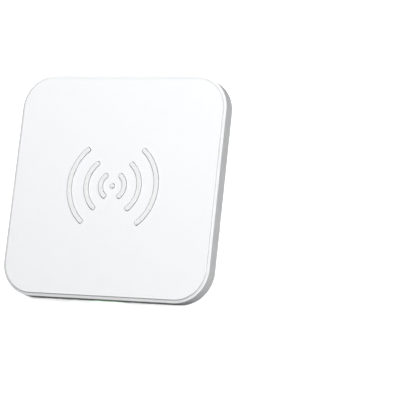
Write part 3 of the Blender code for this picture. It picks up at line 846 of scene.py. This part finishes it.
# %% Window and arm
ARM_HALF_WIDTH = 2.5 * MM
ARM_LOW_Z = UNDERSIDE_Z + 0.5 * MM
ARM_LOWER_BEND_Y = -HALF + WINDOW_DEPTH - 0.4 * MM
ARM_UPPER_BEND_Y = window_high.y - 1.2 * MM
light_window = arch_block("light_window", 0.0, -HALF, -HALF + WINDOW_DEPTH)
arm = add_block(
    "arm", (-ARM_HALF_WIDTH, -HALF + 1.0 * MM, ARM_LOW_Z), (ARM_HALF_WIDTH, window_high.y, window_high.z)
)
edit(arm, "FACE")
lower_slice = ((0, ARM_LOWER_BEND_Y, ARM_LOW_Z), (0, 1, -1))
upper_slice = ((0, ARM_UPPER_BEND_Y, window_high.z), (0, -1, 1))
for bend, slope in (lower_slice, upper_slice):
    bpy.ops.mesh.select_all(action="SELECT")
    bpy.ops.mesh.bisect(plane_co=bend, plane_no=slope, clear_outer=True, use_fill=True)
deselect_all()
combine(light_window, arm, "UNION")
soften(light_window, 0.06 * MM, 2)
finish_piece(light_window, light_guide, "light_guide", "light_pipe")

# %% [markdown]
# ## Base cover and feet
# The underside is a flat cover that fills the ring. Each corner has a round recess for a foot, and in
# it a counterbore for the screw that the foot hides. The recess tool is one disc whose top is inset
# and raised twice.

# %% Base cover
BASE_TOP_Z = 1.5 * MM
RECESS_TOP_Z = 1.0 * MM
COUNTERBORE_TOP_Z = 1.8 * MM
FOOT_RADIUS = FOOT_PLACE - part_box("foot_rear_right")[0].x
RECESS_RADIUS = FOOT_RADIUS + 0.3 * MM
COUNTERBORE_RADIUS = 2.2 * MM
SHAFT_HOLE_RADIUS = 1.3 * MM
PAD_RADIUS = 2.8 * MM
POST_RADIUS = 1.5 * MM
POST_TOP_Z = 1.9 * MM
POST_PLACES = ((20, 37), (-20, 37), (20, -37), (-20, -37), (37, 0), (-37, 0))

base_cover = add_block("base_cover", cover_low, (cover_high.x, cover_high.y, BASE_TOP_Z))
edit(base_cover, "EDGE")
pick_edges(base_cover, lambda middle, along: abs(along.z) > 0.9)
round_edges(CORNER_RADIUS - (HALF - cover_high.x), 32)
notch_x = WINDOW_WIDTH / 2 + 0.3 * MM
notch_low = (-notch_x, -HALF, UNDERSIDE_Z - 1.0 * MM)
notch_high = (notch_x, -HALF + WINDOW_DEPTH + 0.3 * MM, BASE_TOP_Z + 1.0 * MM)
combine(base_cover, add_block("notch", notch_low, notch_high), "DIFFERENCE")
for x, y in POST_PLACES:
    post = add_disc("post", POST_RADIUS, BASE_TOP_Z - 0.3 * MM, POST_TOP_Z, (x * MM, y * MM), 32)
    combine(base_cover, post, "UNION")


# %% Screw pads, and the stepped recess under each
def add_recess_tool(centre):
    """Foot recess, counterbore and screw hole as one stepped disc."""
    tool = add_disc("recess", RECESS_RADIUS, UNDERSIDE_Z - 1.0 * MM, RECESS_TOP_Z, centre, 64)
    edit(tool, "FACE")
    pick_faces(tool, lambda middle, normal: normal.z > 0.9)
    bpy.ops.mesh.inset(thickness=RECESS_RADIUS - COUNTERBORE_RADIUS)
    extrude(z=COUNTERBORE_TOP_Z - RECESS_TOP_Z)
    bpy.ops.mesh.inset(thickness=COUNTERBORE_RADIUS - SHAFT_HOLE_RADIUS)
    extrude(z=cover_high.z + 1.0 * MM - COUNTERBORE_TOP_Z)
    deselect_all()
    return tool


for side_x, side_y in CORNERS.values():
    centre = (side_x * FOOT_PLACE, side_y * FOOT_PLACE)
    pad = add_disc("pad", PAD_RADIUS, BASE_TOP_Z - 0.3 * MM, cover_high.z, centre, 48)
    combine(base_cover, pad, "UNION")
    combine(base_cover, add_recess_tool(centre), "DIFFERENCE")
soften(base_cover, 0.1 * MM, 2)
finish_piece(base_cover, housing_abs, "white_abs", "bottom_cover")

# %% [markdown]
# A foot is a rubber disc with a rounded lower edge and a slightly dished sole, which grips a smooth
# table better than a flat one. It is modelled once and copied to the other corners, each copy with
# its own mesh.

# %% Feet
FOOT_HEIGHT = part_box("foot_rear_right")[1].z
FOOT_EDGE = 0.25 * MM


def copy_to(piece, name, x=0.0, y=0.0, z=0.0):
    """A copy of a piece, with its own mesh, moved to a new place."""
    twin = piece.copy()
    twin.data = piece.data.copy()
    twin.name = name
    bpy.context.scene.collection.objects.link(twin)
    twin.location = (x, y, z)
    apply_place(twin)
    return twin


foot_model = add_disc("foot_model", FOOT_RADIUS, 0.0, FOOT_HEIGHT, sides=72)
edit(foot_model, "EDGE")
pick_edges(foot_model, lambda middle, along: middle.z < FOOT_EDGE / 2 and abs(along.z) < 0.1)
round_edges(FOOT_EDGE, 5)
pick_faces(foot_model, lambda middle, normal: normal.z < -0.999)
bpy.ops.mesh.inset(thickness=0.5 * MM)
bpy.ops.mesh.inset(thickness=0.4 * MM)
shift(z=0.06 * MM)
deselect_all()
for corner, (side_x, side_y) in CORNERS.items():
    foot = copy_to(foot_model, "rubber_foot_" + corner, side_x * FOOT_PLACE, side_y * FOOT_PLACE)
    finish_piece(foot, foot_rubber, "foot_rubber", "foot_" + corner)
bpy.data.objects.remove(foot_model, do_unlink=True)

# %% [markdown]
# ## USB-C socket
# The socket's shell is one strip of nickel-plated steel, folded and seamed into a tube with round
# ends. A slot-shaped block has its two end faces inset by the steel's thickness and deleted, and the
# walls are bridged. Inside stands a black plastic tongue, and the contact springs lie flush in its
# top and bottom as thin gold strips.

# %% Folded steel shell
SHELL_WALL = 0.3 * MM
SHELL_RADIUS = (shell_high.z - shell_low.z) / 2 - 0.001 * MM
socket_shell = slot_block("socket_shell", shell_low, shell_high, SHELL_RADIUS, 12)
edit(socket_shell, "FACE")
for end in (1, -1):
    pick_faces(socket_shell, lambda centre, normal, end=end: normal.y * end > 0.9)
    bpy.ops.mesh.inset(thickness=SHELL_WALL)
    bpy.ops.mesh.delete(type="FACE")
bpy.ops.mesh.select_mode(type="EDGE")
bpy.ops.mesh.select_non_manifold()
bpy.ops.mesh.bridge_edge_loops()
bpy.ops.mesh.select_all(action="SELECT")
bpy.ops.mesh.normals_make_consistent(inside=False)
deselect_all()
soften(socket_shell, 0.06 * MM, 2)
finish_piece(socket_shell, nickel_steel, "socket_steel", "usb_c_shell")

# %% Tongue with its block
BLOCK_DEPTH = 1.8 * MM
TONGUE_HALF_WIDTH = 3.345 * MM
TONGUE_HALF_HEIGHT = 0.35 * MM
SOCKET_Z = (shell_low.z + shell_high.z) / 2
block_high = (tongue_high.x, tongue_low.y + BLOCK_DEPTH, tongue_high.z)
block_radius = (tongue_high.z - tongue_low.z) / 2 - 0.001 * MM
socket_tongue = slot_block("socket_tongue", tongue_low, block_high, block_radius)
blade = add_block(
    "blade",
    (-TONGUE_HALF_WIDTH, tongue_low.y + BLOCK_DEPTH / 2, SOCKET_Z - TONGUE_HALF_HEIGHT),
    (TONGUE_HALF_WIDTH, tongue_high.y, SOCKET_Z + TONGUE_HALF_HEIGHT),
)
edit(blade, "EDGE")
pick_edges(blade, lambda middle, along: abs(along.z) < 0.1 and middle.y > tongue_high.y - MM / 10)
round_edges(0.15 * MM, 3)
deselect_all()
combine(socket_tongue, blade, "UNION")
finish_piece(socket_tongue, socket_plastic, "socket_insulator", "usb_c_tongue")

# %% [markdown]
# ## The parts inside
# The board, coil, screws and small parts keep their CAD shapes, because they are already right and
# nothing outside shows them. Each gets the finish of the real part in its mesh's material slot.

# %% Finishes for the carried-over nodes
INNER_FINISHES = {
    "top_plate_tape": black_tape,
    "coil_foam_tape": foam_tape,
    "circuit_board": board_laminate,
    "controller_chip": chip_resin,
    "bridge_transistor_1": chip_resin,
    "bridge_transistor_2": chip_resin,
    "sense_resistor": chip_resin,
    "input_inductor": shield_ferrite,
    "ferrite_shield": shield_ferrite,
    "status_led": led_resin,
    "coil_film": polyimide_film,
    "charging_coil": copper_litz,
    "thermistor": epoxy_bead,
}
for number in (1, 2, 3, 4):
    INNER_FINISHES["resonant_capacitor_" + str(number)] = capacitor_ceramic
for number in (1, 2):
    INNER_FINISHES["input_capacitor_" + str(number)] = capacitor_ceramic
for corner in CORNERS:
    INNER_FINISHES["screw_" + corner] = zinc_steel
for node, material in INNER_FINISHES.items():
    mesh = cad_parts[node].data
    mesh.materials.clear()
    mesh.materials.append(material)
print("finished inner nodes:", len(INNER_FINISHES))
